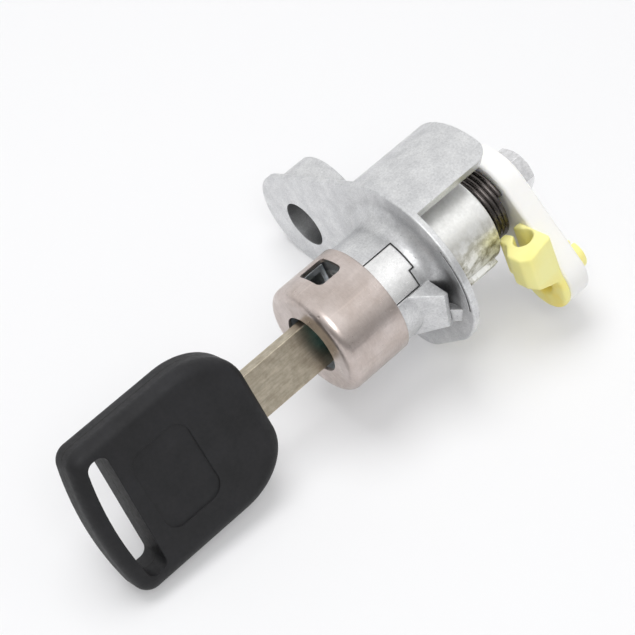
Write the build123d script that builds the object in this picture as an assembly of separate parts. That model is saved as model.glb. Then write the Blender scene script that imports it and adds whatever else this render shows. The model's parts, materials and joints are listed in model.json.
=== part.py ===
from build123d import *
import math
import os

# Trunk lock cylinder with its key, lever, return spring and rod clip.
# Frame: the origin is on the lock axis, in the plane of the flange's front face.
# +Y runs rearwards along the lock axis, +Z is the way the key blade is wide, +X is to the
# right seen from the key. Azimuths are counted from +X towards +Z. Lengths are millimetres.

# General clearances
RUN_GAP = 0.06
FACE_GAP = 0.15
FREE_GAP = 0.35

# Face cap, a pressed cup
CAP_STEP = 0.55
CAP_WALL = 0.7
CAP_LENGTH = 12.9
CAP_REAR_Y = -9.9
CAP_EDGE_RADIUS = 1.9
FACE_HOLE_RADIUS = 5.85
WINDOW_AZIMUTH = 84.6
WINDOW_WIDTH = 6.4
WINDOW_FRONT = 4.9
WINDOW_LENGTH = 5.4
WINDOW_CORNER = 1.1

# Barrel and flange of the die-cast body
BARREL_WALL = 2.19
SPIGOT_FRONT_Y = -12.3
FLANGE_THICKNESS = 1.3
FLANGE_RADIUS = 17.2
FLANGE_EDGE = 0.35
NECK_FILLET = 3.4
CHIN_RADIUS = 7.2
CHIN_X = -5.5
CHIN_Z = -12.85
RIM_GROOVE_INSET = 0.7
RIM_GROOVE_WIDTH = 0.35
RIM_GROOVE_DEPTH = 0.35
RIM_GROOVE_FROM = -25.0
RIM_GROOVE_TO = 23.0

# Mounting ear
EAR_AZIMUTH = 175.2
EAR_DISTANCE = 32.3
EAR_RADIUS = 10.6
EAR_HOLE_DISTANCE = 30.8
EAR_HOLE_RADIUS = 4.85
EAR_BOSS_DISTANCE = 31.3
EAR_BOSS_RADIUS = 9.6
EAR_BOSS_LENGTH = 7.3
EAR_BOSS_EDGE = 0.4
EAR_RIB_THICKNESS = 3.0
EAR_RIB_DROP = 0.8
EAR_RIB_FOOT = 2.2

# Shroud round the return spring
SHROUD_WALL = 2.5
SHROUD_REAR_Y = 19.4
SHROUD_FROM = 49.0
SHROUD_TO = 184.0
SHROUD_CORNER = 3.2

# Wedge lug on the barrel, with its web to the flange
LUG_AZIMUTH = -26.0
LUG_REACH = 12.95
LUG_ROOT = 1.45
LUG_FRONT_Y = -7.3
LUG_REAR_Y = -2.3
LUG_TOP_REAR_Y = -1.6
LUG_TOP_LENGTH = 0.85
LUG_BASE_WIDTH = 10.9
LUG_TOP_WIDTH = 8.8
WEB_AZIMUTH = -37.0
WEB_REACH = 14.9
WEB_DROP = 0.6
WEB_WIDTH = 4.0

# Stator, the plated sleeve that the plug turns in
STATOR_WALL = 1.79
STATOR_SHOULDER = 1.4
STATOR_REAR_Y = 14.8
STATOR_EDGE = 0.4
ANCHOR_RIB_AZIMUTH = -52.0
ANCHOR_RIB_HEIGHT = 1.0
ANCHOR_RIB_WIDTH = 2.4
ANCHOR_RIB_SHORT = 1.7
WAFER_GROOVE_DEPTH = 0.9
WAFER_GROOVE_WIDTH = 4.4

# Retainer plate let into the barrel's side
PLATE_AZIMUTH_LOW = 7.0
PLATE_AZIMUTH_STEP = 25.0
PLATE_AZIMUTH_HIGH = 55.5
PLATE_REAR_Y = -3.3
PLATE_TUCK = 1.6
PLATE_STEP = 0.95
PLATE_GAP = 0.28

# Plug and its tail
PLUG_RADIUS = 6.35
TAIL_RADIUS = 4.4
DRIVE_RADIUS = 3.8
DRIVE_FLAT = 2.9
CLIP_GROOVE_DEPTH = 0.5
CIRCLIP_THICKNESS = 0.8
CIRCLIP_RADIUS = 6.2
CIRCLIP_OPENING = 5.0

# Wafers in the plug
WAFER_COUNT = 6
WAFER_PITCH = 2.3
WAFER_FIRST_Y = -9.4
WAFER_THICKNESS = 1.1
WAFER_HALF_WIDTH = 3.2
WAFER_EAR_WIDTH = 1.5
WAFER_EAR_HEIGHT = 1.2
WAFER_SPRING_WIRE = 0.22
WAFER_SPRING_RADIUS = 0.5
WAFER_SPRING_LENGTH = 2.6
WAFER_SPRING_TURNS = 4

# Shutter behind the face
HOUSING_WALL = 1.1
HOUSING_REAR_WALL = 0.9
DOOR_THICKNESS = 0.45
DOOR_LEAF = 8.2
DOOR_HALF_HEIGHT = 4.7
DOOR_CORNER = 1.6
DOOR_KNUCKLE_END = 3.5
DOOR_PIN_X = 6.8
DOOR_PIN_RADIUS = 0.55
DOOR_KNUCKLE = 0.45
DOOR_PIN_FRONT = 1.25
DOOR_PIN_HALF_LENGTH = 6.5
DOOR_SPRING_WIRE = 0.25
DOOR_SPRING_TURNS = 5
DOOR_SPRING_PITCH = 0.32

# Return spring
SPRING_WIRE = 1.0
SPRING_RADIUS = 7.7
SPRING_PITCH = 1.04
SPRING_TURNS = 4.03
SPRING_START_AZIMUTH = -62.0
SPRING_LEG_REACH = 10.6

# Lever
LEVER_FRONT_Y = 20.2
LEVER_THICKNESS = 4.85
LEVER_AZIMUTH = -63.2
LEVER_HUB_RADIUS = 8.7
LEVER_TIP_RADIUS = 5.9
LEVER_PIN_DISTANCE = 18.6
LEVER_EDGE = 0.7

# Lever bolt and washer
BOLT_RADIUS = 2.5
BOLT_LENGTH = 14.0
BOLT_ACROSS_FLATS = 8.0
BOLT_HEAD = 3.6
BOLT_HEAD_AZIMUTH = -9.0
BOLT_SHANK_GAP = 0.04
WASHER_RADIUS = 5.0
WASHER_THICKNESS = 0.75

# Rod clip
ROD_RADIUS = 1.9
CLIP_AZIMUTH = 79.0
CLIP_BASE_RADIUS = 6.0
CLIP_BASE_THICKNESS = 1.5
CLIP_PIN_WALL = 1.1
CLIP_HEAD_GROWTH = 0.45
CLIP_HEAD_LENGTH = 2.6
CLIP_HEAD_LAND = 0.7
CLIP_SLOT = 0.8
CLIP_SLOT_START = 1.5
CLIP_END = 11.4
CLIP_HEEL_FRONT = 4.4
CLIP_HEEL_REAR = 2.4
CLIP_FLARE = 1.5
CLIP_FLARE_DEPTH = 3.8
CLIP_CHANNEL_V = 0.4
CLIP_CHANNEL_DEPTH = 2.4
CLIP_LEFT = -4.1
CLIP_RIGHT = 5.4
CLIP_DEPTH = 6.9
CLIP_MOUTH = 1.3
CLIP_LIP_ROUND = 1.1
CLIP_EDGE = 0.5

# Key
BLADE_THICKNESS = 2.35
BLADE_WIDTH = 9.3
BLADE_TIP_Y = 2.0
BLADE_POINT = 2.4
BLADE_CUT_DEPTH = 1.1
BLADE_CUTS = 5
BLADE_CUT_FIRST_Y = -11.0
BLADE_CUT_PITCH = 2.3
BLADE_SHANK = 12.0
BLADE_HOLE_RADIUS = 1.6
HEAD_FRONT_Y = -37.2
HEAD_LENGTH = 36.1
HEAD_WIDTH = 30.2
HEAD_THICKNESS = 8.0
HEAD_FRONT_WIDTH = 11.6
HEAD_SHOULDER = 11.8
HEAD_CORNER = 3.2
HEAD_EDGE = 2.4
HEAD_CROWN = 1.9
HEAD_SLANT = 2.5
SLOT_LENGTH = 24.6
SLOT_WIDTH = 5.0
SLOT_INSET = 2.7
SLOT_CROWN = 1.2
PANEL_LENGTH = 12.0
PANEL_WIDTH = 16.5
PANEL_CORNER = 3.0
PANEL_DEPTH = 0.25
PANEL_FROM_FRONT = 13.6

# Places that follow from the sizes above
STATOR_BORE = PLUG_RADIUS + RUN_GAP
STATOR_FRONT_RADIUS = STATOR_BORE + STATOR_WALL
STATOR_REAR_RADIUS = STATOR_FRONT_RADIUS + STATOR_SHOULDER
BODY_BORE = STATOR_FRONT_RADIUS + RUN_GAP
BARREL_RADIUS = BODY_BORE + BARREL_WALL
CAP_RADIUS = BARREL_RADIUS + CAP_STEP
CAP_FRONT_Y = CAP_REAR_Y - CAP_LENGTH
CAP_INNER = CAP_RADIUS - CAP_WALL
SPIGOT_RADIUS = CAP_INNER - RUN_GAP
EAR_REAR_Y = FLANGE_THICKNESS + EAR_BOSS_LENGTH
TAIL_END_Y = LEVER_FRONT_Y
LEVER_REAR_Y = LEVER_FRONT_Y + LEVER_THICKNESS
DRIVE_END_Y = LEVER_REAR_Y - FACE_GAP
BOLT_SEAT_Y = LEVER_REAR_Y + WASHER_THICKNESS
BLADE_SLOT_HALF = BLADE_THICKNESS / 2 + 0.1
BLADE_SLOT_HEIGHT = BLADE_WIDTH / 2 + 0.12
WAFER_REACH = PLUG_RADIUS - FACE_GAP
CLIP_REAR_Y = LEVER_FRONT_Y - RUN_GAP
CLIP_CHANNEL_Y = CLIP_REAR_Y - CLIP_CHANNEL_DEPTH
HOUSING_RADIUS = CAP_INNER - FREE_GAP
HOUSING_FRONT_Y = CAP_FRONT_Y + CAP_WALL + FACE_GAP
HOUSING_REAR_Y = SPIGOT_FRONT_Y - FREE_GAP
PLUG_FRONT_Y = HOUSING_REAR_Y
DOOR_PIN_Y = HOUSING_FRONT_Y + DOOR_PIN_FRONT


def polar(radius, azimuth):
    """Point at a radius and azimuth in a section across the lock axis."""
    turn = math.radians(azimuth)
    return radius * math.cos(turn), radius * math.sin(turn)


def slab(section, y_from, y_to):
    """Extrude a section drawn in X and Z between two places along the lock axis."""
    placed = Plane.XZ.offset(-y_from) * section
    return extrude(placed, amount=y_to - y_from, dir=(0, 1, 0))


def ring(outer, inner, y_from, y_to):
    """Straight tube about the lock axis."""
    return slab(Circle(outer) - Circle(inner), y_from, y_to)


def disc(radius, y_from, y_to):
    """Straight cylinder about the lock axis."""
    return slab(Circle(radius), y_from, y_to)


def wedge(radius, azimuth_from, azimuth_to):
    """Pie-shaped section that reaches past the given radius."""
    steps = max(2, math.ceil((azimuth_to - azimuth_from) / 30))
    span = (azimuth_to - azimuth_from) / steps
    reach = radius / math.cos(math.radians(span / 2)) + 1
    rim = [polar(reach, azimuth_from + span * i) for i in range(steps + 1)]
    return make_face(Polyline((0, 0), *rim, close=True))


def turned(*points):
    """Revolve a profile of (radius, y) points about the lock axis."""
    return revolve(make_face(Polyline(*points, close=True)), Axis.Y)


def across(azimuth, reach):
    """Plane that stands at a reach from the axis, facing outwards at an azimuth."""
    x, z = polar(1, azimuth)
    return Plane(origin=(reach * x, 0, reach * z), x_dir=(0, 1, 0), z_dir=(x, 0, z))


def coil(radius, wire_radius, pitch, turns, start):
    """Round wire wound about +Y from a start azimuth, its first section at y = 0."""
    path = Helix(pitch, pitch * turns, radius, direction=(0, 1, 0))
    section = Plane(origin=path @ 0, z_dir=path % 0) * Circle(wire_radius)
    return Rot(0, -start, 0) * sweep(section, path=path)


def flange_outline():
    """Teardrop: the disc, the ear and the chin under the disc, wrapped in one line."""
    ear = Pos(*polar(EAR_DISTANCE, EAR_AZIMUTH)) * Circle(EAR_RADIUS)
    chin = Pos(CHIN_X, CHIN_Z) * Circle(CHIN_RADIUS)
    return make_hull([*Circle(FLANGE_RADIUS).edges(), *ear.edges(), *chin.edges()])


def flange():
    """Flange plate with a softened front edge and a groove along its free rim."""
    plate = slab(flange_outline(), 0, FLANGE_THICKNESS)
    plate = fillet(plate.faces().sort_by(Axis.Y)[0].edges(), FLANGE_EDGE)
    outer = FLANGE_RADIUS - RIM_GROOVE_INSET
    section = Circle(outer) - Circle(outer - RIM_GROOVE_WIDTH)
    section = section & wedge(outer, RIM_GROOVE_FROM, RIM_GROOVE_TO)
    return plate - slab(section, -RIM_GROOVE_DEPTH, RIM_GROOVE_DEPTH)


def barrel():
    """Turned front of the body: spigot for the cap, barrel and its fillet to the flange."""
    corner = (BARREL_RADIUS + NECK_FILLET, -NECK_FILLET)
    dip = math.sqrt(0.5)
    middle = (corner[0] - NECK_FILLET * dip, corner[1] + NECK_FILLET * dip)
    outline = [
        Polyline((BARREL_RADIUS, -NECK_FILLET), (BARREL_RADIUS, CAP_REAR_Y + RUN_GAP),
                 (SPIGOT_RADIUS, CAP_REAR_Y + RUN_GAP), (SPIGOT_RADIUS, SPIGOT_FRONT_Y),
                 (0, SPIGOT_FRONT_Y), (0, FLANGE_THICKNESS), (corner[0], FLANGE_THICKNESS),
                 (corner[0], 0)),
        ThreePointArc((corner[0], 0), middle, (BARREL_RADIUS, -NECK_FILLET)),
    ]
    return revolve(make_face(outline), Axis.Y)


def ear_boss():
    """Boss behind the ear, with the rib that ties it to the flange."""
    x, z = polar(EAR_BOSS_DISTANCE, EAR_AZIMUTH)
    start = FLANGE_THICKNESS / 2
    boss = slab(Pos(x, z) * Circle(EAR_BOSS_RADIUS), start, EAR_REAR_Y)
    boss = fillet(boss.faces().sort_by(Axis.Y)[-1].edges(), EAR_BOSS_EDGE)
    root = EAR_BOSS_DISTANCE - FLANGE_RADIUS + SHROUD_WALL / 2
    top = (0, EAR_REAR_Y - EAR_RIB_DROP)
    foot = (root, FLANGE_THICKNESS + EAR_RIB_FOOT)
    profile = make_face(Polyline((0, start), top, foot, (root, start), close=True))
    rib = extrude(profile, amount=EAR_RIB_THICKNESS / 2, both=True)
    rib = Pos(x, 0, z) * Rot(0, 180 - EAR_AZIMUTH, 0) * rib
    return boss + rib


def shroud():
    """Half-round wall behind the flange that covers the return spring."""
    inner = FLANGE_RADIUS - SHROUD_WALL
    section = Circle(FLANGE_RADIUS) - Circle(inner)
    section = section & wedge(FLANGE_RADIUS, SHROUD_FROM, SHROUD_TO)
    wall = slab(section, FLANGE_THICKNESS / 2, SHROUD_REAR_Y)
    corners = wall.edges().filter_by(lambda e: e.length < SHROUD_WALL + 0.2)
    corners = corners.filter_by(lambda e: e.center().Y > SHROUD_REAR_Y - 0.1)
    return fillet(corners, SHROUD_CORNER)


def wedge_lug():
    """Wedge that locks the barrel in its panel, with a web behind it."""
    base = across(LUG_AZIMUTH, BARREL_RADIUS - LUG_ROOT)
    base = base * Pos((LUG_FRONT_Y + LUG_REAR_Y) / 2, 0)
    base = base * Rectangle(LUG_REAR_Y - LUG_FRONT_Y, LUG_BASE_WIDTH)
    top = across(LUG_AZIMUTH, LUG_REACH) * Pos(LUG_TOP_REAR_Y - LUG_TOP_LENGTH / 2, 0)
    top = top * Rectangle(LUG_TOP_LENGTH, LUG_TOP_WIDTH)
    lug = loft([base.face(), top.face()])
    start = LUG_TOP_REAR_Y - LUG_TOP_LENGTH / 2
    foot = FLANGE_THICKNESS / 2
    crest = LUG_REACH - WEB_DROP
    profile = make_face(Polyline((BARREL_RADIUS, start), (crest, start),
                                 (WEB_REACH, foot), (BARREL_RADIUS, foot), close=True))
    web = extrude(profile, amount=WEB_WIDTH / 2, both=True)
    return lug + Rot(0, -WEB_AZIMUTH, 0) * web


def plate_section(outer, inner, grow):
    """Outline of the retainer plate across the axis, grown on its two straight sides."""
    turn = math.degrees(grow / BARREL_RADIUS)
    section = Circle(outer) - Circle(inner)
    return section & wedge(outer, PLATE_AZIMUTH_LOW - turn, PLATE_AZIMUTH_HIGH + turn)


def plate_solid(outer, inner, grow):
    """Retainer plate, or with grow the hole for it, with the step in its rear edge."""
    front = CAP_REAR_Y - PLATE_TUCK
    rear = PLATE_REAR_Y + grow
    solid = slab(plate_section(outer, inner, grow), front - grow, rear)
    turn = math.degrees(grow / BARREL_RADIUS)
    low = PLATE_AZIMUTH_LOW - turn
    step = wedge(outer, 2 * low - PLATE_AZIMUTH_STEP, PLATE_AZIMUTH_STEP - turn)
    return solid - slab(step, rear - PLATE_STEP, rear + PLATE_STEP)


def lock_body():
    """Die-cast body in one piece."""
    cast = flange() + barrel() + ear_boss() + shroud() + wedge_lug()
    cast = cast - disc(BODY_BORE, SPIGOT_FRONT_Y - 1, FLANGE_THICKNESS + 1)
    x, z = polar(EAR_HOLE_DISTANCE, EAR_AZIMUTH)
    hole = Pos(x, z) * Circle(EAR_HOLE_RADIUS)
    cast = cast - slab(hole, -1, EAR_REAR_Y + 1)
    return cast - plate_solid(BARREL_RADIUS + BARREL_WALL, STATOR_BORE, PLATE_GAP)


def retainer_plate():
    """Plate that fills the slot in the barrel and keeps the stator in it."""
    plate = plate_solid(BARREL_RADIUS, STATOR_FRONT_RADIUS + RUN_GAP, 0)
    tongue = CAP_REAR_Y - 2 * PLATE_TUCK
    return plate - ring(CAP_RADIUS, SPIGOT_RADIUS, tongue, CAP_REAR_Y + RUN_GAP)


def face_cap():
    """Pressed cup with a round key hole and a window in its side."""
    cup = disc(CAP_RADIUS, CAP_FRONT_Y, CAP_REAR_Y)
    cup = fillet(cup.faces().sort_by(Axis.Y)[0].edges(), CAP_EDGE_RADIUS)
    core = disc(CAP_INNER, CAP_FRONT_Y + CAP_WALL, CAP_REAR_Y + 1)
    core = fillet(core.faces().sort_by(Axis.Y)[0].edges(), CAP_EDGE_RADIUS - CAP_WALL)
    cup = cup - core - disc(FACE_HOLE_RADIUS, CAP_FRONT_Y - 1, CAP_FRONT_Y + 2)
    middle = CAP_FRONT_Y + WINDOW_FRONT + WINDOW_LENGTH / 2
    opening = RectangleRounded(WINDOW_LENGTH, WINDOW_WIDTH, WINDOW_CORNER)
    opening = across(WINDOW_AZIMUTH, CAP_INNER - 4) * Pos(middle, 0) * opening
    return cup - extrude(opening, amount=8)


def stator():
    """Plated sleeve: front in the barrel, wider rear behind the flange."""
    front = disc(STATOR_FRONT_RADIUS, SPIGOT_FRONT_Y + 0.2, FLANGE_THICKNESS + 1)
    rear = disc(STATOR_REAR_RADIUS, FLANGE_THICKNESS, STATOR_REAR_Y)
    rear = fillet(rear.faces().sort_by(Axis.Y)[-1].edges(), STATOR_EDGE)
    x, z = polar(STATOR_REAR_RADIUS + ANCHOR_RIB_HEIGHT / 2 - 0.5, ANCHOR_RIB_AZIMUTH)
    bar = Rectangle(ANCHOR_RIB_HEIGHT + 1, ANCHOR_RIB_WIDTH)
    bar = Pos(x, z) * Rot(0, 0, ANCHOR_RIB_AZIMUTH) * bar
    rib = slab(bar, FLANGE_THICKNESS, STATOR_REAR_Y - ANCHOR_RIB_SHORT)
    sleeve = front + rear + rib - disc(STATOR_BORE, SPIGOT_FRONT_Y - 1, STATOR_REAR_Y + 1)
    groove = Rectangle(WAFER_GROOVE_WIDTH, 2 * (STATOR_BORE + WAFER_GROOVE_DEPTH))
    return sleeve - slab(groove, SPIGOT_FRONT_Y - 1, wafer_y(WAFER_COUNT))


def wafer_y(index):
    """Front face of a wafer along the axis."""
    return WAFER_FIRST_Y + WAFER_PITCH * index


def wafer_outline(grow):
    """Wafer seen along the axis, with the ear that its spring pushes."""
    plate = Rectangle(2 * (WAFER_HALF_WIDTH + grow), 2 * PLUG_RADIUS)
    ear = Pos(WAFER_HALF_WIDTH + WAFER_EAR_WIDTH / 2, 0)
    ear = ear * Rectangle(WAFER_EAR_WIDTH + 2 * grow, WAFER_EAR_HEIGHT + 2 * grow)
    return plate + ear


def wafer(index):
    """Flat wafer with a window that the blade passes through."""
    outline = wafer_outline(0) & Circle(WAFER_REACH)
    window = Rectangle(2 * BLADE_SLOT_HALF, 2 * BLADE_SLOT_HEIGHT)
    return slab(outline - window, wafer_y(index), wafer_y(index) + WAFER_THICKNESS)


def wafer_spring_x():
    """Place of the wafer springs beside the wafers."""
    return WAFER_HALF_WIDTH + WAFER_EAR_WIDTH / 2 + 0.1


def wafer_springs():
    """One small compression spring under the ear of each wafer."""
    pitch = (WAFER_SPRING_LENGTH - 2 * WAFER_SPRING_WIRE) / WAFER_SPRING_TURNS
    path = Helix(pitch, pitch * WAFER_SPRING_TURNS, WAFER_SPRING_RADIUS)
    section = Plane(origin=path @ 0, z_dir=path % 0) * Circle(WAFER_SPRING_WIRE / 2)
    spring = sweep(section, path=path)
    top = -WAFER_EAR_HEIGHT / 2 - WAFER_SPRING_LENGTH + WAFER_SPRING_WIRE / 2
    places = [Pos(wafer_spring_x(), wafer_y(i) + WAFER_THICKNESS / 2, top)
              for i in range(WAFER_COUNT)]
    return Compound(children=[place * spring for place in places])


def drive_section(grow):
    """Round with two flats that turns the lever."""
    flats = Rectangle(2 * (DRIVE_FLAT + grow), 4 * DRIVE_RADIUS)
    return Rot(0, 0, LEVER_AZIMUTH) * (Circle(DRIVE_RADIUS + grow) & flats)


def plug():
    """Turning plug with its keyway, wafer slots, tail and drive for the lever."""
    core = disc(PLUG_RADIUS, PLUG_FRONT_Y, STATOR_REAR_Y)
    core = core + disc(TAIL_RADIUS, STATOR_REAR_Y, TAIL_END_Y)
    core = core + slab(drive_section(0), TAIL_END_Y - 1, DRIVE_END_Y)
    keyway = Rectangle(2 * BLADE_SLOT_HALF, 2 * BLADE_SLOT_HEIGHT)
    core = core - slab(keyway, PLUG_FRONT_Y - 1, BLADE_TIP_Y + 0.6)
    pocket_height = 2 * WAFER_SPRING_LENGTH + WAFER_EAR_HEIGHT + 0.2
    pocket = Pos(wafer_spring_x(), 0) * Rectangle(WAFER_EAR_WIDTH, pocket_height)
    for index in range(WAFER_COUNT):
        front = wafer_y(index) - 0.08
        rear = wafer_y(index) + WAFER_THICKNESS + 0.08
        core = core - slab(wafer_outline(0.08) + pocket, front, rear)
    groove_y = STATOR_REAR_Y + FACE_GAP
    groove_end = groove_y + CIRCLIP_THICKNESS + 0.1
    core = core - ring(TAIL_RADIUS + 1, TAIL_RADIUS - CLIP_GROOVE_DEPTH, groove_y, groove_end)
    return core - disc(BOLT_RADIUS, BOLT_SEAT_Y - BOLT_LENGTH - 1, DRIVE_END_Y + 1)


def plug_circlip():
    """Open ring in the tail's groove that keeps the plug in the stator."""
    start = STATOR_REAR_Y + FACE_GAP + 0.05
    inner = TAIL_RADIUS - CLIP_GROOVE_DEPTH + 0.05
    clip = ring(CIRCLIP_RADIUS, inner, start, start + CIRCLIP_THICKNESS)
    gap = Pos(-CIRCLIP_RADIUS, 0) * Rectangle(2 * CIRCLIP_RADIUS, CIRCLIP_OPENING)
    return clip - slab(gap, start - 1, start + CIRCLIP_THICKNESS + 1)


def shutter_housing():
    """Cup in front of the plug that carries the dust shutter."""
    cup = disc(HOUSING_RADIUS, HOUSING_FRONT_Y, HOUSING_REAR_Y)
    cup = fillet(cup.faces().sort_by(Axis.Y)[0].edges(), CAP_EDGE_RADIUS - CAP_WALL)
    inner = HOUSING_RADIUS - HOUSING_WALL
    cup = cup - disc(inner, HOUSING_FRONT_Y - 1, HOUSING_REAR_Y - HOUSING_REAR_WALL)
    cup = cup - disc(PLUG_RADIUS - 0.6, HOUSING_REAR_Y - 5, HOUSING_REAR_Y + 1)
    drain = RectangleRounded(WINDOW_LENGTH + 0.8, WINDOW_WIDTH + 0.8, WINDOW_CORNER)
    middle = CAP_FRONT_Y + WINDOW_FRONT + WINDOW_LENGTH / 2
    drain = across(WINDOW_AZIMUTH, inner - 3) * Pos(middle, 0) * drain
    cup = cup - extrude(drain, amount=8)
    return cup - shutter_pin(RUN_GAP)


def shutter_pin(grow=0):
    """Hinge pin of the dust shutter, or with grow the hole for it."""
    pin = Cylinder(DOOR_PIN_RADIUS + grow, 2 * (DOOR_PIN_HALF_LENGTH + grow))
    return Pos(DOOR_PIN_X, DOOR_PIN_Y, 0) * pin


def door_angle():
    """How far the blade pushes the shutter open."""
    reach = DOOR_PIN_X - BLADE_THICKNESS / 2 - FACE_GAP - DOOR_THICKNESS / 2
    return math.degrees(math.acos(reach / DOOR_LEAF))


def dust_shutter():
    """Flap of sheet metal rolled round its pin, held open by the blade."""
    leaf = Pos(-DOOR_LEAF / 2, 0) * RectangleRounded(DOOR_LEAF, 2 * DOOR_HALF_HEIGHT, DOOR_CORNER)
    root = Pos(-DOOR_LEAF / 4, 0) * Rectangle(DOOR_LEAF / 2, 2 * DOOR_KNUCKLE_END)
    leaf = leaf & Pos(-DOOR_LEAF / 2 - DOOR_KNUCKLE - DOOR_PIN_RADIUS, 0) * Rectangle(DOOR_LEAF, 20)
    leaf = extrude(Plane.XZ * (leaf + root), amount=DOOR_THICKNESS / 2, both=True)
    knuckle_outer = DOOR_PIN_RADIUS + RUN_GAP + DOOR_KNUCKLE
    door = leaf + Cylinder(knuckle_outer, 2 * DOOR_KNUCKLE_END)
    spring_outer = DOOR_PIN_RADIUS + RUN_GAP + 1.5 * DOOR_SPRING_WIRE
    room = DOOR_SPRING_PITCH * DOOR_SPRING_TURNS / 2 + DOOR_SPRING_WIRE / 2 + FACE_GAP
    door = door - Cylinder(spring_outer + FACE_GAP, 2 * room)
    door = door - Cylinder(DOOR_PIN_RADIUS + RUN_GAP, 20)
    return Pos(DOOR_PIN_X, DOOR_PIN_Y, 0) * Rot(0, 0, -door_angle()) * door


def shutter_spring():
    """Small torsion coil on the hinge pin, between the shutter's two knuckles."""
    radius = DOOR_PIN_RADIUS + RUN_GAP + DOOR_SPRING_WIRE
    height = DOOR_SPRING_PITCH * DOOR_SPRING_TURNS
    path = Helix(DOOR_SPRING_PITCH, height, radius)
    section = Plane(origin=path @ 0, z_dir=path % 0) * Circle(DOOR_SPRING_WIRE / 2)
    return Pos(DOOR_PIN_X, DOOR_PIN_Y, -height / 2) * sweep(section, path=path)


def torsion_spring():
    """Black return spring round the tail, with one leg at the stator and one at the lever."""
    wire = SPRING_WIRE / 2
    middle = SPRING_RADIUS - wire
    start_y = STATOR_REAR_Y + wire + 0.05
    winding = coil(middle, wire, SPRING_PITCH, SPRING_TURNS, SPRING_START_AZIMUTH)
    winding = Pos(0, start_y, 0) * winding
    x, z = polar(middle, SPRING_START_AZIMUTH)
    tangent_x, tangent_z = polar(1, SPRING_START_AZIMUTH - 90)
    length = math.sqrt(SPRING_LEG_REACH ** 2 - middle ** 2)
    end = (x + length * tangent_x, start_y, z + length * tangent_z)
    leg = sweep(Plane(origin=end, z_dir=(-tangent_x, 0, -tangent_z)) * Circle(wire),
                path=Line(end, (x, start_y, z)))
    return winding + leg + Pos(x, start_y, z) * Sphere(wire)


def lever_pin_point():
    """Place of the rod clip's pin across the axis."""
    return polar(LEVER_PIN_DISTANCE, LEVER_AZIMUTH)


def lever():
    """Moulded lever: hub on the plug's drive and an arm that tapers to a round end."""
    hub = Circle(LEVER_HUB_RADIUS)
    tip = Pos(LEVER_PIN_DISTANCE, 0) * Circle(LEVER_TIP_RADIUS)
    outline = make_hull([*hub.edges(), *tip.edges()])
    arm = slab(Rot(0, 0, LEVER_AZIMUTH) * outline, LEVER_FRONT_Y, LEVER_REAR_Y)
    arm = fillet(arm.faces().sort_by(Axis.Y)[0].edges(), LEVER_EDGE)
    arm = fillet(arm.faces().sort_by(Axis.Y)[-1].edges(), LEVER_EDGE)
    arm = arm - slab(drive_section(RUN_GAP), LEVER_FRONT_Y - 1, LEVER_REAR_Y + 1)
    pin_hole = Pos(*lever_pin_point()) * Circle(clip_pin_radius() + RUN_GAP)
    return arm - slab(pin_hole, LEVER_FRONT_Y - 1, LEVER_REAR_Y + 1)


def lever_washer():
    """Plain washer under the bolt's head."""
    return ring(WASHER_RADIUS, BOLT_RADIUS + 0.15, LEVER_REAR_Y, BOLT_SEAT_Y)


def lever_bolt():
    """Hex bolt that holds the lever on the plug's tail."""
    corner = BOLT_ACROSS_FLATS / math.sqrt(3)
    rear = BOLT_SEAT_Y + BOLT_HEAD
    hexagon = RegularPolygon(corner, 6, rotation=BOLT_HEAD_AZIMUTH)
    head = slab(hexagon, BOLT_SEAT_Y, rear)
    flat = BOLT_ACROSS_FLATS / 2 * 0.98
    side = corner + 0.1
    drop = (side - flat) * math.tan(math.radians(30))
    start = BOLT_SEAT_Y - 1
    dome = turned((0, rear), (flat, rear), (side, rear - drop), (side, start), (0, start))
    shank = disc(BOLT_RADIUS - BOLT_SHANK_GAP, BOLT_SEAT_Y - BOLT_LENGTH, BOLT_SEAT_Y + 0.5)
    return (head & dome) + shank


def clip_pin_radius():
    """Outside of the rod clip's hollow pin."""
    return ROD_RADIUS + CLIP_PIN_WALL


def clip_plane(along):
    """Section plane across the clip's channel, its local x to the right and y rearwards."""
    x, z = lever_pin_point()
    ux, uz = polar(1, CLIP_AZIMUTH)
    start = (x + along * ux, 0, z + along * uz)
    return Plane(origin=start, x_dir=(uz, 0, -ux), z_dir=(ux, 0, uz))


def clip_profile():
    """End view of the clip: a block with a mouth between a thick and a thin lip."""
    front = CLIP_REAR_Y - CLIP_DEPTH
    shelf = STATOR_REAR_Y + FREE_GAP
    mouth_rear = CLIP_CHANNEL_Y + CLIP_MOUTH
    rear_lip = (CLIP_LEFT + CLIP_LIP_ROUND, CLIP_REAR_Y)
    block = make_face(Polyline(rear_lip, (CLIP_RIGHT, CLIP_REAR_Y), (CLIP_RIGHT, front + 1.3),
                               (CLIP_RIGHT - 1.8, front), (0.4, front), (-1.4, shelf),
                               (CLIP_LEFT, shelf), (CLIP_LEFT, mouth_rear), close=True))
    lip = block.vertices().sort_by_distance((CLIP_LEFT, shelf))[0]
    others = [v for v in block.vertices() if v != lip]
    block = fillet(others, CLIP_EDGE)
    lip = block.vertices().sort_by_distance((CLIP_LEFT, shelf))[0]
    block = fillet(lip, CLIP_LIP_ROUND)
    mouth = Pos(CLIP_LEFT, CLIP_CHANNEL_Y + CLIP_MOUTH / 2)
    mouth = mouth * Rectangle(2 * (CLIP_CHANNEL_V - CLIP_LEFT), CLIP_MOUTH)
    return block - mouth


def clip_head():
    """Split barbed end of the clip's pin, behind the lever."""
    lip = LEVER_REAR_Y + FACE_GAP
    rear = lip + CLIP_HEAD_LENGTH
    grown = clip_pin_radius() + CLIP_HEAD_GROWTH
    nose = (clip_pin_radius() - CLIP_HEAD_GROWTH, rear)
    return turned((0, lip), (grown, lip), (grown, lip + CLIP_HEAD_LAND), nose, (0, rear))


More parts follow.
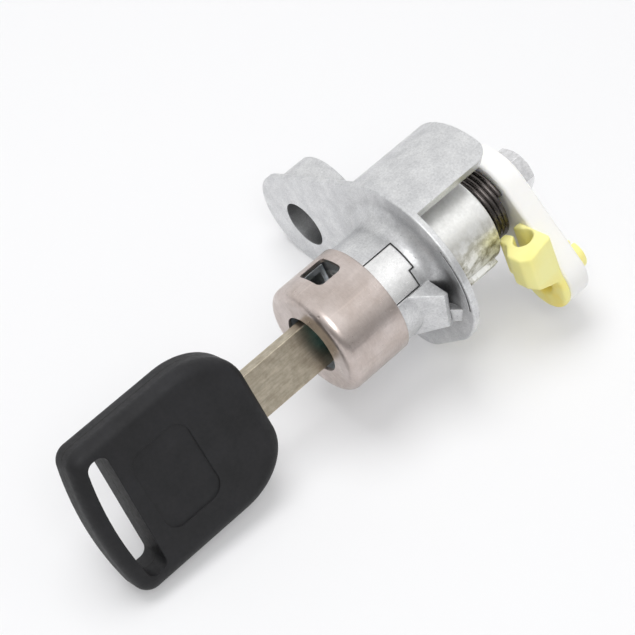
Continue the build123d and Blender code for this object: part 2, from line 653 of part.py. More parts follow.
def rod_clip():
    """Moulded clip: hollow snap pin through the lever, base and channel for the rod."""
    x, z = lever_pin_point()
    here = Pos(x, z)
    front = CLIP_REAR_Y - CLIP_DEPTH
    base_front = CLIP_REAR_Y - CLIP_BASE_THICKNESS
    pin_end = LEVER_REAR_Y + FACE_GAP + CLIP_HEAD_LENGTH
    block = extrude(clip_plane(0) * clip_profile(), amount=CLIP_END)
    heel = clip_plane(0)
    side = Plane(origin=heel.origin, x_dir=heel.z_dir, z_dir=-heel.x_dir)
    slope = make_face(Polyline((-1, front - 1), (CLIP_HEEL_FRONT, front - 1),
                               (CLIP_HEEL_FRONT, front), (CLIP_HEEL_REAR, base_front),
                               (CLIP_HEEL_REAR, CLIP_REAR_Y + 1), (-1, CLIP_REAR_Y + 1), close=True))
    block = block - extrude(side * slope, amount=2 * CLIP_BASE_RADIUS, both=True)
    base = slab(here * Circle(CLIP_BASE_RADIUS), base_front, CLIP_REAR_Y)
    base = fillet(base.faces().sort_by(Axis.Y)[0].edges(), CLIP_EDGE)
    pin = slab(here * Circle(clip_pin_radius()), base_front, pin_end)
    clip = block + base + pin + Pos(x, 0, z) * clip_head()
    clip = clip - slab(here * Circle(ROD_RADIUS), base_front - 1, pin_end + 1)
    channel = Pos(CLIP_CHANNEL_V, CLIP_CHANNEL_Y) * Circle(ROD_RADIUS)
    clip = clip - extrude(clip_plane(0) * channel, amount=CLIP_END + 1)
    wide = ROD_RADIUS + CLIP_FLARE
    narrow_y = CLIP_REAR_Y - RUN_GAP
    wide_y = narrow_y - CLIP_FLARE_DEPTH
    flare = turned((0, narrow_y), (ROD_RADIUS, narrow_y), (wide, wide_y), (0, wide_y))
    clip = clip - Pos(x, 0, z) * flare
    slit = Rot(0, 0, CLIP_AZIMUTH) * Rectangle(3 * CLIP_BASE_RADIUS, CLIP_SLOT)
    return clip - slab(here * slit, LEVER_FRONT_Y + CLIP_SLOT_START, pin_end + 1)


def blade_outline():
    """Blade seen from its side, with cuts in both edges, drawn in Y and Z."""
    half = BLADE_WIDTH / 2
    top = [(HEAD_FRONT_Y - BLADE_SHANK, half), (BLADE_CUT_FIRST_Y - 1.2, half)]
    for index in range(BLADE_CUTS):
        middle = BLADE_CUT_FIRST_Y + BLADE_CUT_PITCH * index
        depth = BLADE_CUT_DEPTH * (0.45 + 0.25 * ((index * 2) % 3))
        top.append((middle - 0.25, half - depth))
        top.append((middle + 0.25, half - depth))
        top.append((middle + BLADE_CUT_PITCH / 2, half - 0.2))
    top.append((BLADE_TIP_Y - BLADE_POINT, half - 0.2))
    top.append((BLADE_TIP_Y, half - BLADE_POINT))
    bottom = [(y, -z) for y, z in reversed(top)]
    return make_face(Polyline(*top, *bottom, close=True))


def key_blade():
    """Nickel silver blade with its shank inside the head."""
    blade = extrude(Plane.YZ * blade_outline(), amount=BLADE_THICKNESS / 2, both=True)
    hole = Cylinder(BLADE_HOLE_RADIUS, BLADE_THICKNESS * 3, rotation=(0, 90, 0))
    return blade - Pos(0, HEAD_FRONT_Y - BLADE_SHANK + 4, 0) * hole


def slant(z):
    """How far the far end of the head has moved towards the blade at a height."""
    return z * math.tan(math.radians(HEAD_SLANT))


def head_outline():
    """Key head seen from its side: blunt front, elliptical shoulders and a crowned end."""
    half = HEAD_WIDTH / 2
    nose = HEAD_FRONT_WIDTH / 2
    shoulder = HEAD_FRONT_Y - HEAD_SHOULDER
    rear = HEAD_FRONT_Y - HEAD_LENGTH
    high = (rear + HEAD_CROWN + slant(half), half)
    low = (rear + HEAD_CROWN - slant(half), -half)
    edges = [
        Line((HEAD_FRONT_Y, -nose), (HEAD_FRONT_Y, nose)),
        EllipticalCenterArc((shoulder, nose), HEAD_SHOULDER, half - nose, 0, arc_size=90),
        Line((shoulder, half), high),
        ThreePointArc(high, (rear, 0), low),
        Line(low, (shoulder, -half)),
        EllipticalCenterArc((shoulder, -nose), HEAD_SHOULDER, half - nose, 270, arc_size=90),
    ]
    face = make_face(edges)
    rear_corners = face.vertices().filter_by(lambda v: v.X < rear + 2 * HEAD_CROWN)
    return fillet(rear_corners, HEAD_CORNER)


def ring_slot():
    """Slot for the key ring: straight towards the blade, crowned towards the end."""
    rear = HEAD_FRONT_Y - HEAD_LENGTH + SLOT_INSET
    front = rear + SLOT_WIDTH
    half = SLOT_LENGTH / 2
    lean = slant(half)
    high = (rear + SLOT_CROWN + lean, half)
    low = (rear + SLOT_CROWN - lean, -half)
    edges = [
        Line((front - lean, -half), (front + lean, half)),
        Line((front + lean, half), high),
        ThreePointArc(high, (rear, 0), low),
        Line(low, (front - lean, -half)),
    ]
    face = make_face(edges)
    return fillet(face.vertices(), (SLOT_WIDTH - SLOT_CROWN) * 0.45)


def grip_panel():
    """Shallow bare panel sunk in the front of the head."""
    middle = HEAD_FRONT_Y - PANEL_FROM_FRONT - PANEL_LENGTH / 2
    outline = RectangleRounded(PANEL_LENGTH, PANEL_WIDTH, PANEL_CORNER)
    floor = Plane.YZ.offset(HEAD_THICKNESS / 2 - PANEL_DEPTH) * Pos(middle, 0)
    return extrude(floor * outline, amount=HEAD_THICKNESS)


def key_head(side):
    """One half shell of the key head; the two meet in the middle plane."""
    half = extrude(Plane.YZ * head_outline(), amount=HEAD_THICKNESS / 2)
    half = fillet(half.faces().sort_by(Axis.X)[-1].edges(), HEAD_EDGE)
    half = half - extrude(Plane.YZ * ring_slot(), amount=HEAD_THICKNESS)
    shank = Pos(HEAD_FRONT_Y - BLADE_SHANK / 2, 0) * Rectangle(BLADE_SHANK, BLADE_WIDTH)
    half = half - extrude(Plane.YZ * shank, amount=BLADE_THICKNESS / 2)
    return half - grip_panel() if side > 0 else mirror(half, Plane.YZ)


def all_nodes():
    """Every separate piece, by the name of its file."""
    nodes = {
        "lock_body": lock_body(),
        "face_cap": face_cap(),
        "stator": stator(),
        "retainer_plate": retainer_plate(),
        "plug": plug(),
        "plug_circlip": plug_circlip(),
        "wafer_springs": wafer_springs(),
        "shutter_housing": shutter_housing(),
        "shutter_pin": shutter_pin(),
        "dust_shutter": dust_shutter(),
        "shutter_spring": shutter_spring(),
        "torsion_spring": torsion_spring(),
        "lever": lever(),
        "lever_washer": lever_washer(),
        "lever_bolt": lever_bolt(),
        "rod_clip": rod_clip(),
        "key_blade": key_blade(),
        "key_head_front": key_head(1),
        "key_head_back": key_head(-1),
    }
    for index in range(WAFER_COUNT):
        nodes[f"wafer_{index + 1}"] = wafer(index)
    return nodes


os.makedirs("parts", exist_ok=True)
for name, shape in all_nodes().items():
    export_step(shape, f"parts/{name}.step")
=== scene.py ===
import json
import math

import bmesh
import bpy
from mathutils import Matrix, Vector


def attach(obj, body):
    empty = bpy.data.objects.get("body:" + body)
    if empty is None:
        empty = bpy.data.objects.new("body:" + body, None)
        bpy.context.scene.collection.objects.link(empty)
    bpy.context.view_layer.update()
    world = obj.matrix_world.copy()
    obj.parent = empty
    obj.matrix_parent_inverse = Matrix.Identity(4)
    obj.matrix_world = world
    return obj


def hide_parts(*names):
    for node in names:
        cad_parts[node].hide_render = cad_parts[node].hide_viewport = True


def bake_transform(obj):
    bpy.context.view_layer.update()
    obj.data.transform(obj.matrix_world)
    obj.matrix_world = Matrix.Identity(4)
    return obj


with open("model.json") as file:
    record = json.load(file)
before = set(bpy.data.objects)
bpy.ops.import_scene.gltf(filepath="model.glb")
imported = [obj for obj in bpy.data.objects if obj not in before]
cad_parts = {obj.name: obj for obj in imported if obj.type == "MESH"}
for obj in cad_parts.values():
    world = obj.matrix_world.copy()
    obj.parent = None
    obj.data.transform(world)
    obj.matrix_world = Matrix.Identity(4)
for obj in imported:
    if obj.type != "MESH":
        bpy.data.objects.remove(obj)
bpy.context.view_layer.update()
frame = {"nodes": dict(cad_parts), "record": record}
scene = bpy.context.scene
nodes = frame["nodes"]

# Camera at the photograph's angle
CAMERA_POSITION = (0.281757, -0.132118, 0.170558)
CAMERA_RIGHT = (0.543935, 0.719980, -0.431003)
CAMERA_FORWARD = (-0.813165, 0.325485, -0.482518)
CAMERA_LENS = 113.386
CAMERA_SENSOR = 36.0
CAMERA_NEAR = 0.01
CAMERA_FAR = 50.0

# Table under the part, in metres: its upward normal, a point on it and its half width
TABLE_NORMAL = Vector((0.404, 0.093, 0.910)).normalized()
TABLE_POINT = TABLE_NORMAL * -0.02106
TABLE_HALF = 2.0
TABLE_WHITE = (0.86, 0.86, 0.87, 1.0)

# The table's own glow in the picture and in gloss: its colour and its share of the surface
GLOW_WHITE = (0.98, 0.98, 0.99, 1.0)
TABLE_GLOW = 0.25

# Lamps in metres and watts: a soft one overhead, and one above the camera that gloss shows
LIGHT_TARGET = (0, -0.02, 0)
KEY_PLACE = (0.16, 0.06, 0.72)
KEY_SIZE = 0.5
KEY_POWER = 3.3
FILL_PLACE = (0.62, -0.15, 0.45)
FILL_SIZE = 0.45
FILL_POWER = 1.7

# Tent around the part: its bright side, its level for matt surfaces, and its levels in gloss
SKY_SIDE = (0.05, 0.30, 0.94)
SKY_PLAIN = 0.42
SKY_DIM = 0.20
SKY_BRIGHT = 1.0
SKY_TURN_FROM = -0.25
SKY_TURN_TO = 0.45

# Rod clip in metres: its depth, its left side and length from the pin, and its heel's length
CLIP_DEPTH = 0.0069
CLIP_LEFT = 0.0041
CLIP_LENGTH = 0.0114
CLIP_HEEL = 0.0030

# Its far end: where it starts, its push at the front and rear, and how far the push fades in
CLIP_END_FROM = 0.0090
CLIP_END_LOW = -0.0002
CLIP_END_HIGH = 0.0013
CLIP_EASE = 0.0015

# Its mouth's front and rear, and the size and smoothing of its skin
CLIP_MOUTH = (0.01745, 0.01900)
SKIN_VOXEL = 0.00019
SKIN_EASE = 0.5
SKIN_EASE_TIMES = 32

# Return spring in metres: where its front leg's tip starts, and that tip's pull
LEG_TIP_FROM = 0.0095
LEG_TIP_PULL = 0.0018

# Corners of a CAD mesh that are closer than this are joined, in metres
WELD_DISTANCE = 1e-6

# Shading: samples, ranges of a value that are stretched to full, painted shade in creases, painted
# highlight on edges, scratches, pits, stains and painted shade low on the clip, and seam
CREASE_SHADE_SAMPLES = 6
BEVEL_SAMPLES = 4
CREASE_SHADE_RANGE = (0.30, 0.90)
EDGE_HIGHLIGHT_RANGE = (0.995, 0.90)
DRIFT_RANGE = (0.36, 0.66)
GRAIN_RANGE = (0.3, 0.7)
SCRATCH_RANGE = (0.60, 0.72)
SCRATCH_SCALE = 1500.0
SCRATCH_STRETCH = (1.0, 0.035, 0.6)
SCRATCH_TURNS = ((0.3, 0.2, 0.5), (-0.5, 0.1, -0.9))
PIT_NOISE_RANGE = (0.50, 0.80)
PIT_MOST = 0.14
PIT_EDGE = 0.06
STAIN_AND_SHADE_RANGE = (0.42, 0.62)
STAIN_AND_SHADE_MOST = 0.85
ROUGH_SWING = 0.06
SEAM_TINT = (0.002, 0.002, 0.002)
MOTTLE_SCALE = 120.0
MOTTLE_RANGE = (0.35, 0.65)

# Bumps: their strengths, and depths as multiples of the material's own
DRIFT_BUMP = 0.35
DRIFT_DEPTH = 5
GRAIN_BUMP = 0.6
PIT_BUMP = 0.6
PIT_DEPTH = 4
PLASTIC_BUMP = 0.4
SEAM_BUMP = -0.8


def add_camera():
    """Camera with the fitted position, turn and lens."""
    data = bpy.data.cameras.new("photo_camera")
    data.sensor_width = CAMERA_SENSOR
    data.lens = CAMERA_LENS
    data.clip_start = CAMERA_NEAR
    data.clip_end = CAMERA_FAR
    data.dof.use_dof = False
    camera = bpy.data.objects.new("photo_camera", data)
    scene.collection.objects.link(camera)
    right = Vector(CAMERA_RIGHT).normalized()
    back = -Vector(CAMERA_FORWARD).normalized()
    up = back.cross(right)
    turn = Matrix((right, up, back)).transposed().to_4x4()
    camera.matrix_world = Matrix.Translation(CAMERA_POSITION) @ turn
    scene.camera = camera


class Graph:
    """Small helper that builds one node material."""

    def __init__(self, name):
        self.material = bpy.data.materials.new(name)
        self.material.use_nodes = True
        self.tree = self.material.node_tree
        self.tree.nodes.clear()
        self.output = self.add("ShaderNodeOutputMaterial")
        self.shader = self.add("ShaderNodeBsdfPrincipled")
        self.link(self.shader, "BSDF", self.output, "Surface")
        self.place = self.add("ShaderNodeTexCoord")

    def add(self, kind, **values):
        """Add a node and set its properties."""
        node = self.tree.nodes.new(kind)
        for key, value in values.items():
            setattr(node, key, value)
        return node

    def link(self, a, out, b, into):
        """Join two sockets by name or number."""
        self.tree.links.new(a.outputs[out], b.inputs[into])

    def put(self, **values):
        """Set constants on the shader's own sockets."""
        for key, value in values.items():
            self.shader.inputs[key.replace("_", " ")].default_value = value

    def noise(self, scale, detail=3.0, stretch=(1, 1, 1), rough=0.55):
        """Noise over the part, with its size in patterns per metre."""
        mapping = self.add("ShaderNodeMapping")
        mapping.inputs["Scale"].default_value = stretch
        self.link(self.place, "Object", mapping, "Vector")
        node = self.add("ShaderNodeTexNoise")
        node.inputs["Scale"].default_value = scale
        node.inputs["Detail"].default_value = detail
        node.inputs["Roughness"].default_value = rough
        self.link(mapping, "Vector", node, "Vector")
        return node

    def spread(self, node, out, low, high, to_low, to_high):
        """Map a range of one value onto another."""
        mapped = self.add("ShaderNodeMapRange")
        mapped.inputs["From Min"].default_value = low
        mapped.inputs["From Max"].default_value = high
        mapped.inputs["To Min"].default_value = to_low
        mapped.inputs["To Max"].default_value = to_high
        self.link(node, out, mapped, "Value")
        return mapped

    def times(self, colour, factor):
        """Multiply a colour by one value."""
        mix = self.add("ShaderNodeMix", data_type="RGBA", blend_type="MULTIPLY")
        mix.inputs[0].default_value = 1.0
        self.link(colour, 2, mix, 6)
        self.link(factor, "Result", mix, 7)
        return mix

    def painted_crease_shade(self, strength, reach):
        """Painted shade: darker where two faces meet inwards, as shadow gathers there."""
        near = self.add("ShaderNodeAmbientOcclusion", samples=CREASE_SHADE_SAMPLES, only_local=True)
        near.inputs["Distance"].default_value = reach
        return self.spread(near, "AO", *CREASE_SHADE_RANGE, 1.0 - strength, 1.0)

    def edges(self, round_edge, gain):
        """Painted highlight that also stands for edge wear: brighter by a gain on outer edges, where a
        rounded normal leaves the real one.
        """
        soft = self.add("ShaderNodeBevel", samples=BEVEL_SAMPLES)
        soft.inputs["Radius"].default_value = round_edge
        real = self.add("ShaderNodeNewGeometry")
        same = self.add("ShaderNodeVectorMath", operation="DOT_PRODUCT")
        self.link(soft, "Normal", same, 0)
        self.link(real, "Normal", same, 1)
        return self.spread(same, "Value", *EDGE_HIGHLIGHT_RANGE, 1.0, gain)

    def scratches(self, turn, low, high):
        """Fine straight scratches along a turned direction, as a factor between two values."""
        mapping = self.add("ShaderNodeMapping")
        mapping.inputs["Rotation"].default_value = turn
        mapping.inputs["Scale"].default_value = SCRATCH_STRETCH
        self.link(self.place, "Object", mapping, "Vector")
        lines = self.add("ShaderNodeTexNoise")
        lines.inputs["Scale"].default_value = SCRATCH_SCALE
        lines.inputs["Detail"].default_value = 2.0
        self.link(mapping, "Vector", lines, "Vector")
        return self.spread(lines, "Fac", *SCRATCH_RANGE, low, high)

    def seam(self, width):
        """1 on a narrow line where the two halves of the key's head meet, else 0."""
        split = self.add("ShaderNodeSeparateXYZ")
        self.link(self.place, "Object", split, "Vector")
        side = self.add("ShaderNodeMath", operation="ABSOLUTE")
        self.link(split, "X", side, 0)
        return self.spread(side, "Value", width, width * 0.5, 0.0, 1.0)

    def pits(self, spacing):
        """Small round pits at a mean spacing in metres: 0 in a pit, 1 outside."""
        wobble = self.noise(3.0 / spacing, 2.0)
        cells = self.add("ShaderNodeTexVoronoi", feature="F1")
        cells.inputs["Scale"].default_value = 1.0 / spacing
        self.link(self.place, "Object", cells, "Vector")
        size = self.spread(wobble, "Fac", *PIT_NOISE_RANGE, 0.0, PIT_MOST)
        edge = self.add("ShaderNodeMath", operation="SUBTRACT")
        self.link(cells, "Distance", edge, 0)
        self.link(size, "Result", edge, 1)
        return self.spread(edge, "Value", 0.0, PIT_EDGE, 0.0, 1.0)

    def below(self, top, bottom, noise):
        """Mask that grows downwards between two heights, broken up by a noise."""
        split = self.add("ShaderNodeSeparateXYZ")
        self.link(self.place, "Object", split, "Vector")
        height = self.spread(split, "Z", top, bottom, 0.0, 1.0)
        patch = self.spread(noise, "Fac", *STAIN_AND_SHADE_RANGE, 0.0, 1.0)
        both = self.add("ShaderNodeMath", operation="MULTIPLY")
        self.link(height, "Result", both, 0)
        self.link(patch, "Result", both, 1)
        return self.spread(both, "Value", 0.0, 1.0, 0.0, STAIN_AND_SHADE_MOST)

    def blend(self, factor, out, colour_a, colour_b):
        """Mix two colours, each a constant or a (node, socket) pair."""
        mix = self.add("ShaderNodeMix", data_type="RGBA")
        self.link(factor, out, mix, 0)
        for socket, colour in ((6, colour_a), (7, colour_b)):
            if isinstance(colour[0], (int, float)):
                mix.inputs[socket].default_value = (*colour, 1.0)
            else:
                self.link(colour[0], colour[1], mix, socket)
        return mix

    def bump(self, sources, round_edge=0.0002):
        """Stack bumps, each a (node, socket, strength, depth) entry, over rounded edges."""
        last = self.add("ShaderNodeBevel", samples=BEVEL_SAMPLES)
        last.inputs["Radius"].default_value = round_edge
        for node, out, strength, depth in sources:
            bump = self.add("ShaderNodeBump")
            bump.inputs["Strength"].default_value = strength
            bump.inputs["Distance"].default_value = depth
            self.link(node, out, bump, "Height")
            self.link(last, "Normal", bump, "Normal")
            last = bump
        self.link(last, "Normal", self.shader, "Normal")


def metal(name, light, dark, rough, grain=2600.0, depth=0.00002, stretch=(1, 1, 1),
          patches=110.0, grit=0.06, crease_shade=0.35, reach=0.003, round_edge=0.0003, rim_highlight=1.0, scratch=0.0,
          pits=None, stain_and_shade=None, metallic=1.0):
    """Metal with drifting tone, fine grit, painted shade in creases, soft edges with a painted
    highlight, and perhaps pits or a stain.
    """
    g = Graph(name)
    drift = g.noise(patches, 5.0, rough=0.62)
    tone = g.spread(drift, "Fac", *DRIFT_RANGE, 0.0, 1.0)
    colour = g.blend(tone, "Result", dark, light)
    fine = g.noise(grain, 4.0, stretch, rough=0.7)
    shade = g.spread(fine, "Fac", *GRAIN_RANGE, 1.0 - grit, 1.0 + grit)
    colour = g.times(colour, shade)
    bumps = [(drift, "Fac", DRIFT_BUMP, depth * DRIFT_DEPTH), (fine, "Fac", GRAIN_BUMP, depth)]
    if pits:
        spacing, tint = pits
        spots = g.pits(spacing)
        colour = g.blend(spots, "Result", tint, (colour, 2))
        bumps.append((spots, "Result", PIT_BUMP, depth * PIT_DEPTH))
    if stain_and_shade:
        tint, top, bottom = stain_and_shade
        mask = g.below(top, bottom, drift)
        colour = g.blend(mask, "Result", (colour, 2), tint)
    # Painted shade: the colour darkens in creases and hollows, by an occlusion node
    if crease_shade:
        colour = g.times(colour, g.painted_crease_shade(crease_shade, reach))
    # Painted highlight on outer edges, also standing for edge wear
    if rim_highlight > 1.0:
        colour = g.times(colour, g.edges(round_edge, rim_highlight))
    if scratch:
        bright_turn, dark_turn = SCRATCH_TURNS
        colour = g.times(colour, g.scratches(bright_turn, 1.0, 1.0 + scratch))
        colour = g.times(colour, g.scratches(dark_turn, 1.0, 1.0 - scratch))
    g.link(colour, 2, g.shader, "Base Color")
    g.put(Metallic=metallic)
    level = g.spread(fine, "Fac", *GRAIN_RANGE, rough + ROUGH_SWING, rough - ROUGH_SWING)
    g.link(level, "Result", g.shader, "Roughness")
    g.bump(bumps, round_edge)
    return g.material


def plastic(name, light, dark, rough, grain=1800.0, depth=0.00002, seam=0.0, stain_and_shade=None, **values):
    """Moulded plastic with faint mottling and a fine grain, and perhaps a seam or a painted shade that
    deepens its colour low down.
    """
    g = Graph(name)
    drift = g.noise(MOTTLE_SCALE, 3.0)
    tone = g.spread(drift, "Fac", *MOTTLE_RANGE, 0.0, 1.0)
    colour = g.blend(tone, "Result", dark, light)
    fine = g.noise(grain, 4.0)
    level = g.spread(fine, "Fac", *GRAIN_RANGE, rough - ROUGH_SWING, rough + ROUGH_SWING)
    g.link(level, "Result", g.shader, "Roughness")
    bumps = [(fine, "Fac", PLASTIC_BUMP, depth)]
    # Painted shade: the colour deepens towards the bottom
    if stain_and_shade:
        tint, top, bottom = stain_and_shade
        colour = g.blend(g.below(top, bottom, drift), "Result", (colour, 2), tint)
    if seam:
        line = g.seam(seam)
        colour = g.blend(line, "Result", (colour, 2), SEAM_TINT)
        bumps.append((line, "Result", SEAM_BUMP, seam))
    g.link(colour, 2, g.shader, "Base Color")
    g.bump(bumps)
    g.put(**values)
    return g.material


def dress(node, material):
    """Give a CAD node its material."""
    mesh = nodes[node].data
    if not mesh.materials:
        mesh.materials.append(material)
    for index in range(len(mesh.materials)):
        mesh.materials[index] = material


def applied(piece):
    """A copy of the piece's mesh with its modifiers worked in."""
    graph = bpy.context.evaluated_depsgraph_get()
    return bpy.data.meshes.new_from_object(piece.evaluated_get(graph))


def welded_copy(node, name):
    """New object with a CAD node's mesh, its split corners joined."""
    mesh = bpy.data.meshes.new(name)
    form = bmesh.new()
    form.from_mesh(nodes[node].data)
    bmesh.ops.remove_doubles(form, verts=form.verts, dist=WELD_DISTANCE)
    form.to_mesh(mesh)
    form.free()
    piece = bpy.data.objects.new(name, mesh)
    scene.collection.objects.link(piece)
    return piece


def clip_axes():
    """The rod clip's pin, the direction along its channel and the one across it."""
    behaviour = frame["record"]["behaviour"]
    joint = next(j for j in behaviour["joints"] if j["name"] == "rod_clip_swing")
    mount = next(m for m in frame["record"]["mounts"] if m["name"] == "rod_channel")
    along = Vector(mount["axis"]).normalized()
    return Vector(joint["pos_m"]), along, Vector((0, 1, 0)).cross(along)


def slant_clip_end(mesh):
    """Push the clip's far end outwards, most on the lever's side and not at its left, by the spring."""
    pin, along, across = clip_axes()
    front = min(v.co.y for v in mesh.vertices)
    rear = front + CLIP_DEPTH
    for vertex in mesh.vertices:
        offset = vertex.co - pin
        if offset.dot(along) > CLIP_END_FROM:
            rise = (vertex.co.y - front) / (rear - front)
            share = min(max((offset.dot(across) + CLIP_LEFT) / CLIP_EASE, 0.0), 1.0)
            vertex.co += along * share * (CLIP_END_LOW + rise * (CLIP_END_HIGH - CLIP_END_LOW))


def cut_clip_mouth(piece):
    """Open the clip's mouth to its real width, with a block that is then removed."""
    pin, along, across = clip_axes()
    middle = (CLIP_MOUTH[0] + CLIP_MOUTH[1]) / 2
    mesh = bpy.data.meshes.new("mouth_block")
    form = bmesh.new()
    bmesh.ops.create_cube(form, size=1.0)
    form.to_mesh(mesh)
    form.free()
    block = bpy.data.objects.new("mouth_block", mesh)
    scene.collection.objects.link(block)
    turn = Matrix((across, Vector((0, 1, 0)), along)).transposed().to_4x4()
    place = Vector((pin.x, middle, pin.z)) - across * CLIP_LEFT + along * CLIP_LENGTH
    size = (2 * CLIP_LEFT, CLIP_MOUTH[1] - CLIP_MOUTH[0], 2 * (CLIP_LENGTH - CLIP_HEEL))
    block.matrix_world = Matrix.Translation(place) @ turn @ Matrix.Diagonal((*size, 1.0))
    cut = piece.modifiers.new("mouth", "BOOLEAN")
    cut.operation = "DIFFERENCE"
    cut.solver = "EXACT"
    cut.object = block
    bpy.context.view_layer.update()
    piece.data = applied(piece)
    piece.modifiers.clear()
    bpy.data.objects.remove(block)


def moulded_clip():
    """Rod clip with soft moulded edges, a wide mouth and a slanted far end."""
    piece = welded_copy("rod_clip", "clip_moulded")
    slant_clip_end(piece.data)
    cut_clip_mouth(piece)
    skin = piece.modifiers.new("skin", "REMESH")
    skin.mode = "VOXEL"
    skin.voxel_size = SKIN_VOXEL
    ease = piece.modifiers.new("ease", "SMOOTH")
    ease.factor = SKIN_EASE
    ease.iterations = SKIN_EASE_TIMES
    piece.data = applied(piece)
    piece.modifiers.clear()
    piece.data.shade_smooth()
    piece.data.materials.clear()
    piece.data.materials.append(YELLOW)
    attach(piece, "rod_clip")
    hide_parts("rod_clip")


def twisting_spring():
    """Return spring as one smooth copy of the CAD coil, with its front leg's tip drawn in."""
    piece = welded_copy("torsion_spring", "return_spring")
    # The front leg's tip is drawn in, so that the turning clip passes it
    tip = [v for v in piece.data.vertices if math.hypot(v.co.x, v.co.z) > LEG_TIP_FROM]
    middle = sum((v.co for v in tip), Vector()) / len(tip)
    inward = -Vector((middle.x, 0, middle.z)).normalized()
    for vertex in tip:
        vertex.co += inward * LEG_TIP_PULL
    piece.data.shade_smooth()
    piece.data.materials.append(BLACK_WIRE)
    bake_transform(piece)
    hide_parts("torsion_spring")


def add_area(name, place, size, power, in_gloss):
    """Soft area lamp that looks at the part, shown in gloss or not."""
    data = bpy.data.lights.new(name, "AREA")
    data.shape = "DISK"
    data.size = size
    data.energy = power
    lamp = bpy.data.objects.new(name, data)
    lamp.visible_glossy = in_gloss
    scene.collection.objects.link(lamp)
    lamp.location = place
    look = Vector(LIGHT_TARGET) - Vector(place)
    lamp.rotation_euler = look.to_track_quat("-Z", "Y").to_euler()


def add_world():
    """White to the camera, plain to matt surfaces, and for gloss a tent that is dimmer low down."""
    world = bpy.data.worlds.new("studio")
    world.use_nodes = True
    scene.world = world
    tree = world.node_tree
    tree.nodes.clear()
    output = tree.nodes.new("ShaderNodeOutputWorld")
    path = tree.nodes.new("ShaderNodeLightPath")
    place = tree.nodes.new("ShaderNodeTexCoord")
    facing = tree.nodes.new("ShaderNodeVectorMath")
    facing.operation = "DOT_PRODUCT"
    facing.inputs[1].default_value = Vector(SKY_SIDE).normalized()
    level = tree.nodes.new("ShaderNodeMapRange")
    level.inputs["From Min"].default_value = SKY_TURN_FROM
    level.inputs["From Max"].default_value = SKY_TURN_TO
    level.inputs["To Min"].default_value = SKY_DIM
    level.inputs["To Max"].default_value = SKY_BRIGHT
    glossy = tree.nodes.new("ShaderNodeMix")
    glossy.inputs[2].default_value = SKY_PLAIN
    ambient = tree.nodes.new("ShaderNodeBackground")
    ambient.inputs["Color"].default_value = (1, 1, 1, 1)
    shown = tree.nodes.new("ShaderNodeBackground")
    shown.inputs["Color"].default_value = (1, 1, 1, 1)
    shown.inputs["Strength"].default_value = 1.0
    either = tree.nodes.new("ShaderNodeMath")
    either.operation = "MAXIMUM"
    mix = tree.nodes.new("ShaderNodeMixShader")
    tree.links.new(place.outputs["Generated"], facing.inputs[0])
    tree.links.new(facing.outputs["Value"], level.inputs["Value"])
    tree.links.new(path.outputs["Is Glossy Ray"], glossy.inputs[0])
    tree.links.new(level.outputs["Result"], glossy.inputs[3])
    tree.links.new(glossy.outputs[0], ambient.inputs["Strength"])
    tree.links.new(path.outputs["Is Camera Ray"], either.inputs[0])
    tree.links.new(path.outputs["Is Transmission Ray"], either.inputs[1])
    tree.links.new(either.outputs[0], mix.inputs[0])
    tree.links.new(ambient.outputs[0], mix.inputs[1])
    tree.links.new(shown.outputs[0], mix.inputs[2])
    tree.links.new(mix.outputs[0], output.inputs["Surface"])


def add_table():
    """White table, seen from above only."""
    side = TABLE_NORMAL.orthogonal().normalized()
    other = TABLE_NORMAL.cross(side)
    signs = ((-1, -1), (1, -1), (1, 1), (-1, 1))
    corners = [TABLE_POINT + (side * a + other * b) * TABLE_HALF for a, b in signs]
    mesh = bpy.data.meshes.new("table")
    mesh.from_pydata([tuple(c) for c in corners], [], [(0, 1, 2, 3)])
    if mesh.polygons[0].normal.dot(TABLE_NORMAL) < 0:
        mesh.flip_normals()
    table = bpy.data.objects.new("table", mesh)
    scene.collection.objects.link(table)
    material = bpy.data.materials.new("table_white")
    material.use_nodes = True
    tree = material.node_tree
    tree.nodes.clear()
    output = tree.nodes.new("ShaderNodeOutputMaterial")
    diffuse = tree.nodes.new("ShaderNodeBsdfDiffuse")
    diffuse.inputs["Color"].default_value = TABLE_WHITE
    glow = tree.nodes.new("ShaderNodeEmission")
    glow.inputs["Color"].default_value = GLOW_WHITE
    path = tree.nodes.new("ShaderNodeLightPath")
    seen = tree.nodes.new("ShaderNodeMath")
    seen.operation = "MAXIMUM"
    also = tree.nodes.new("ShaderNodeMath")
    also.operation = "MAXIMUM"
    share = tree.nodes.new("ShaderNodeMath")
    share.operation = "MULTIPLY"
    share.inputs[1].default_value = TABLE_GLOW
    surface = tree.nodes.new("ShaderNodeMixShader")
    tree.links.new(path.outputs["Is Camera Ray"], seen.inputs[0])
    tree.links.new(path.outputs["Is Glossy Ray"], seen.inputs[1])
    tree.links.new(seen.outputs[0], also.inputs[0])
    tree.links.new(path.outputs["Is Transmission Ray"], also.inputs[1])
    tree.links.new(also.outputs[0], share.inputs[0])
    tree.links.new(share.outputs[0], surface.inputs[0])
    tree.links.new(diffuse.outputs[0], surface.inputs[1])
    tree.links.new(glow.outputs[0], surface.inputs[2])
    clear = tree.nodes.new("ShaderNodeBsdfTransparent")
    geometry = tree.nodes.new("ShaderNodeNewGeometry")
    mix = tree.nodes.new("ShaderNodeMixShader")
    tree.links.new(geometry.outputs["Backfacing"], mix.inputs[0])
    tree.links.new(surface.outputs[0], mix.inputs[1])
    tree.links.new(clear.outputs[0], mix.inputs[2])
    tree.links.new(mix.outputs[0], output.inputs["Surface"])
    mesh.materials.append(material)
